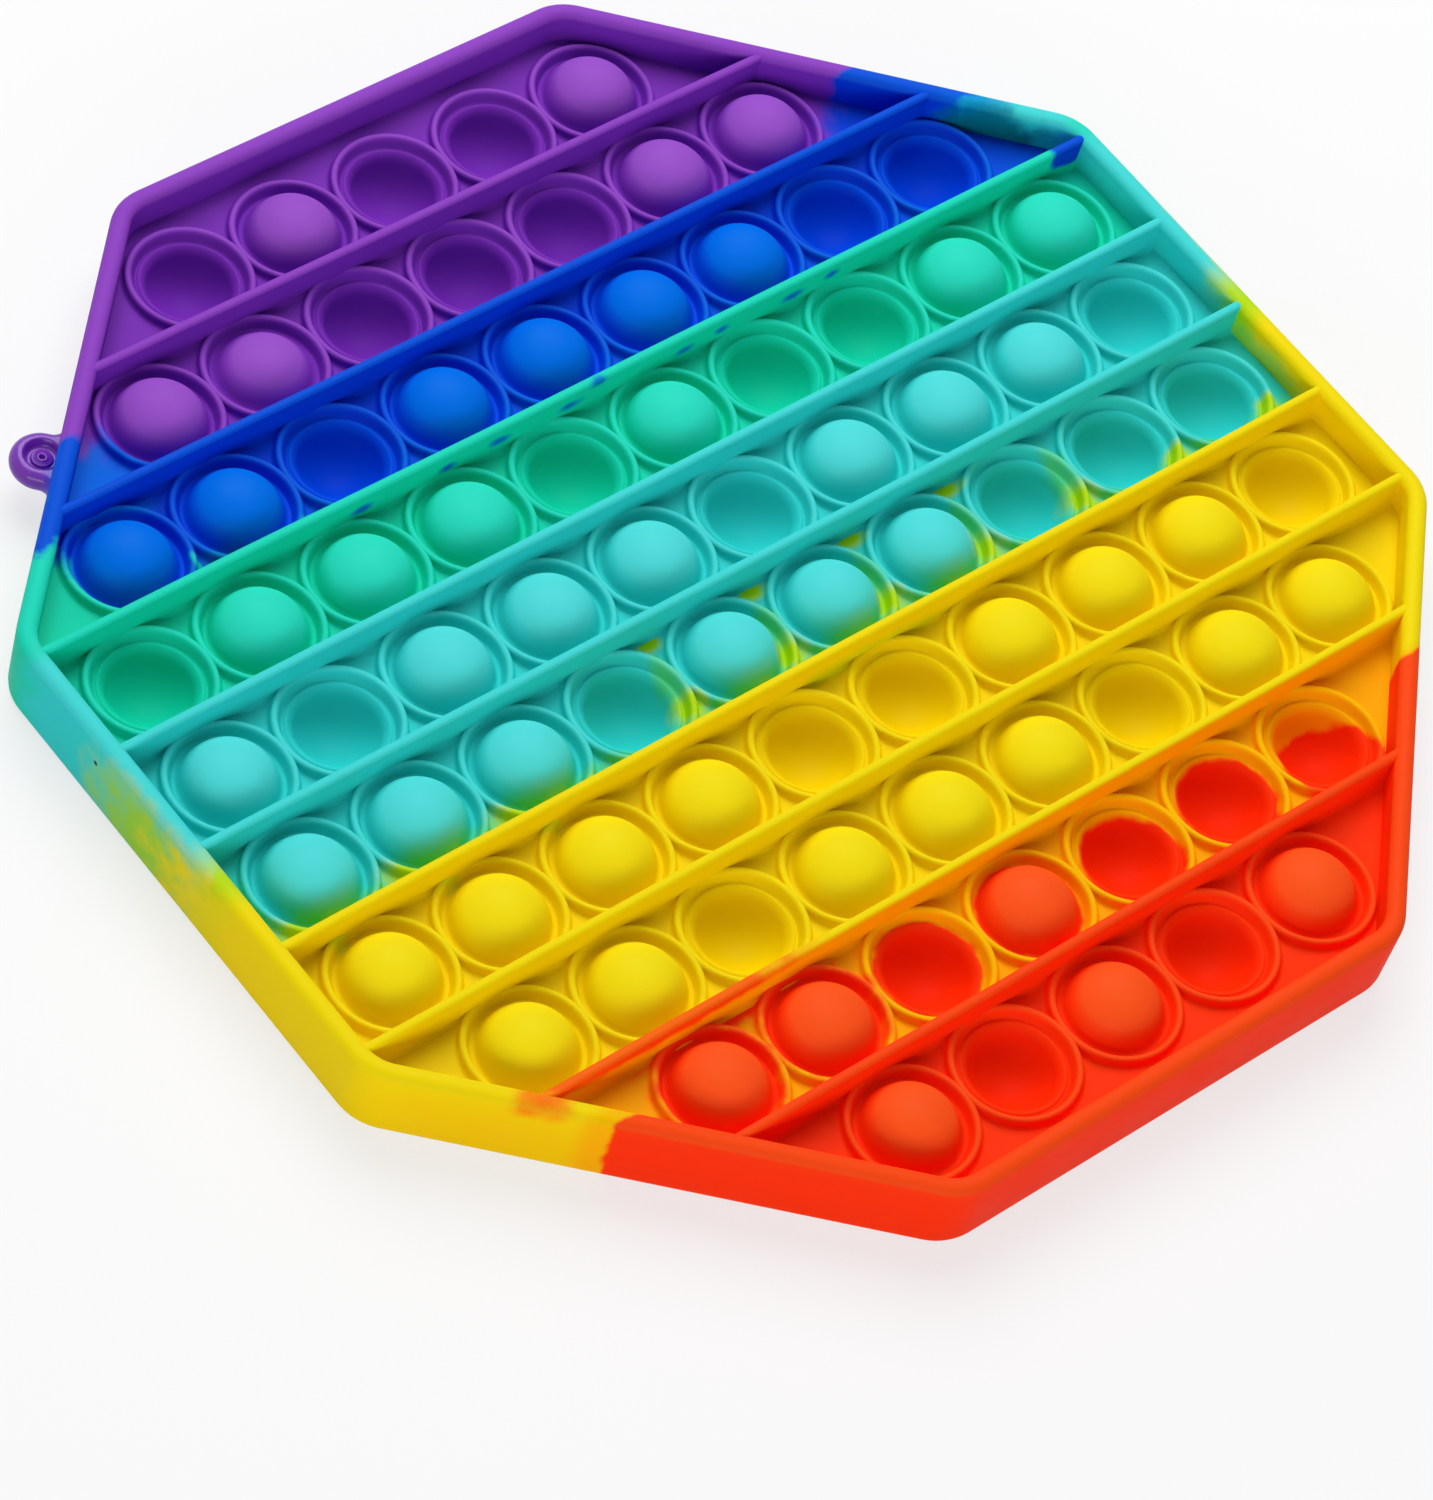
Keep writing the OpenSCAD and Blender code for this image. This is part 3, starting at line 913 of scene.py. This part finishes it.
class TOY_OT_ear(Piece):
    """Make the small hanging ear on the upper left side"""
    bl_idname = "toy.ear"
    bl_label = "Ear"

    def execute(self, context):
        s, e = sizes(), context.scene.toy_ear
        outline, turns = self.outline(s, e)
        shape = bmesh.new()
        join_loops(shape, self.loops(shape, outline, turns, e, 1))
        join_loops(shape, self.loops(shape, outline, turns, e, -1), flip=True)
        bmesh.ops.remove_doubles(shape, verts=shape.verts, dist=TINY)
        bmesh.ops.recalc_face_normals(shape, faces=shape.faces)
        mesh = finished_mesh(shape, "ear")
        side = Matrix.Rotation(3 * SIDE_ANGLE, 4, "Z")
        mesh.transform(side @ Matrix.Translation((s.across_flats / 2 + e.out, e.along, s.rim_h / 2)))
        mesh.materials.append(material_for("ear"))
        return self.keep(in_scene("ear", mesh))

    def outline(self, s, e):
        """Points and outward normals round the ear, with its root inside the rim's wall, and its turns."""
        root = -(e.out + s.rim_t / 2)
        fillet_x = -e.out + e.fillet
        fillet_y = math.sqrt((e.radius + e.fillet) ** 2 - fillet_x ** 2)
        touch = math.atan2(fillet_y, fillet_x)
        turns = [-touch + 2 * touch * k / EAR_STEPS for k in range(EAR_STEPS + 1)]
        points = [((e.radius * math.cos(a), e.radius * math.sin(a)), (math.cos(a), math.sin(a))) for a in turns]
        fillet = []
        for k in range(1, EAR_FILLET_STEPS + 1):
            a = math.pi + touch * (1 - k / EAR_FILLET_STEPS)
            point = (fillet_x + e.fillet * math.cos(a), fillet_y + e.fillet * math.sin(a))
            fillet.append((point, (-math.cos(a), -math.sin(a))))
        points += fillet
        points += [((root, fillet_y * (1 - 2 * k / EAR_ROOT_STEPS)), (0, 0)) for k in range(EAR_ROOT_STEPS + 1)]
        points += [((x, -y), (n, -m)) for (x, y), (n, m) in reversed(fillet)]
        rest = len(points) - len(turns)
        turns += [touch + 2 * (math.pi - touch) * (k + 1) / (rest + 1) for k in range(rest)]
        return points, turns

    def loops(self, shape, outline, turns, e, side):
        """Loops of vertices over the ear's round edge, into the eye and to its middle."""
        loops = []
        for k in range(EAR_EDGE_STEPS + 1):
            a = math.pi / 2 * k / EAR_EDGE_STEPS
            inset, z = e.edge_w * (1 - math.cos(a)), e.edge_r * math.sin(a)
            loops.append([shape.verts.new((x - n * inset, y - m * inset, side * z)) for (x, y), (n, m) in outline])
        for radius, z in self.eye(e):
            loops.append([shape.verts.new((radius * math.cos(a), radius * math.sin(a), side * z)) for a in turns])
        return loops

    def eye(self, e):
        """The eye's section, from its lip down the bowl and over the disc and the bead to the pit."""
        skin, disc, bead = e.skin_t / 2, e.skin_t / 2 + e.disc_h, e.bead_t / 2
        floor_r = e.hollow_r - e.bowl_r - 0.2 * MM
        lip = arc((e.hollow_r + e.lip_r, e.edge_r - e.lip_r), e.lip_r, 90, 162, 4)
        bowl = arc((floor_r, skin + e.bowl_r), e.bowl_r, 0, -90, 6)
        edge = points_from(e.disc_r, disc, ((-0.03, -0.15), (-0.08, -0.05), (-0.18, 0)))
        crown = arc((e.bead_r, disc), bead, 0, 150, 5)
        pit = [(e.pit_r, disc - 0.1 * MM), (e.pit_r * 0.8, skin), (0, skin)]
        return lip + bowl + [(e.disc_r, skin)] + edge + crown + pit


# The studio

def seen_ray(shader):
    """One for a ray from the camera, also by reflection or through clear material, otherwise zero."""
    path = shader.add("ShaderNodeLightPath").outputs
    mirrored = shader.maths("MAXIMUM", path["Is Glossy Ray"], path["Is Transmission Ray"])
    return shader.maths("MAXIMUM", path["Is Camera Ray"], mirrored)


def end_seen(shader, output, share, plain, seen):
    """Ends a tree with a plain shader, and to a share another as it is seen."""
    shader.add(output, {0: shader.add("ShaderNodeMixShader", {0: share, 1: plain, 2: seen})})


class TOY_OT_stage(bpy.types.Operator):
    """Make the pale floor, the soft lights and the camera"""
    bl_idname = "toy.stage"
    bl_label = "Stage"

    def execute(self, context):
        look = context.scene.toy_studio
        self.floor(look)
        self.lamp("softbox_above", (0.31, 0.52, 0.85), (0.9, 0.9), look.key_power)
        self.lamp("strip_light_in_front", (-0.66, -0.76, 0.34), (1.7, 0.3), look.fill_power)
        world = bpy.data.worlds.new("studio_sky")
        context.scene.world = world
        shader = Nodes(empty_tree(world))
        soft = shader.add("ShaderNodeBackground", {"Color": WHITE, "Strength": look.sky})
        white = shader.add("ShaderNodeBackground", {"Color": WHITE, "Strength": 1})
        end_seen(shader, "ShaderNodeOutputWorld", seen_ray(shader), soft, white)
        self.camera(context, look)
        context.scene.view_settings.view_transform = "Standard"
        return {"FINISHED"}

    def floor(self, look):
        shape = bmesh.new()
        bmesh.ops.create_grid(shape, x_segments=1, y_segments=1, size=4)
        mesh = finished_mesh(shape, "floor")
        material = bpy.data.materials.new("pale_floor")
        shader = Nodes(empty_tree(material))
        matt = shader.add("ShaderNodeBsdfPrincipled", {
            "Base Color": (*[look.floor_shade] * 3, 1), "Roughness": 0.9, "Specular IOR Level": 0.1})
        white = shader.add("ShaderNodeEmission", {"Color": WHITE, "Strength": 1})
        share = shader.maths("MULTIPLY", seen_ray(shader), look.floor_glow)
        end_seen(shader, "ShaderNodeOutputMaterial", share, matt, white)
        mesh.materials.append(material)
        in_scene("floor", mesh)

    def lamp(self, name, place, size, power):
        """A lamp with a rectangular face that looks at the toy."""
        light = bpy.data.lights.new(name, "AREA")
        light.shape = "RECTANGLE"
        light.size, light.size_y = size
        light.energy = power
        turn = Vector(place).to_track_quat("Z", "Y").to_matrix().to_4x4()
        in_scene(name, light).matrix_world = Matrix.Translation(place) @ turn

    def camera(self, context, look):
        lens = bpy.data.cameras.new("camera")
        lens.lens = look.lens
        lens.sensor_width = 36
        lens.clip_start = 0.01
        lens.clip_end = 20
        back = Vector(CAMERA_BACK).normalized()
        up = back.cross(Vector(CAMERA_RIGHT).normalized()).normalized()
        turn = Matrix((up.cross(back), up, back)).transposed().to_4x4()
        context.scene.camera = in_scene("camera", lens)
        context.scene.camera.matrix_world = Matrix.Translation(CAMERA_PLACE) @ turn


class TOY_PT_panel(bpy.types.Panel):
    """The toy's pieces in the order that they are made"""
    bl_label = "Bubble toy"
    bl_idname = "TOY_PT_panel"
    bl_space_type = "VIEW_3D"
    bl_region_type = "UI"
    bl_category = "Bubble toy"

    def draw(self, context):
        column = self.layout.column(align=True)
        for operator in OPERATORS:
            column.operator(operator.bl_idname)
        for group in GROUPS:
            box = self.layout.box()
            values = getattr(context.scene, group)
            for name in values.bl_rna.properties.keys():
                if name not in ("rna_type", "name"):
                    box.prop(values, name)


GROUPS = {"toy_sizes": ToySizes, "toy_ear": EarSizes, "toy_colours": PourColours, "toy_studio": StudioLook}
OPERATORS = (
    TOY_OT_stage, TOY_OT_sheet, TOY_OT_ring_ridges, TOY_OT_domes, TOY_OT_dividers, TOY_OT_rim, TOY_OT_ear)


def register():
    for name, group in GROUPS.items():
        bpy.utils.register_class(group)
        setattr(bpy.types.Scene, name, PointerProperty(type=group))
    for operator in OPERATORS:
        bpy.utils.register_class(operator)
    bpy.utils.register_class(TOY_PT_panel)


def unregister():
    bpy.utils.unregister_class(TOY_PT_panel)
    for operator in reversed(OPERATORS):
        bpy.utils.unregister_class(operator)
    for name, group in GROUPS.items():
        delattr(bpy.types.Scene, name)
        bpy.utils.unregister_class(group)


def main():
    register()
    for make_group in (border_group, bleed_group, fray_group, painted_light_group, touch_group):
        make_group()
    bpy.ops.toy.stage()
    bpy.ops.toy.sheet()
    bpy.ops.toy.ring_ridges()
    bpy.ops.toy.domes()
    bpy.ops.toy.dividers()
    bpy.ops.toy.rim()
    bpy.ops.toy.ear()


if __name__ == "__main__":
    main()
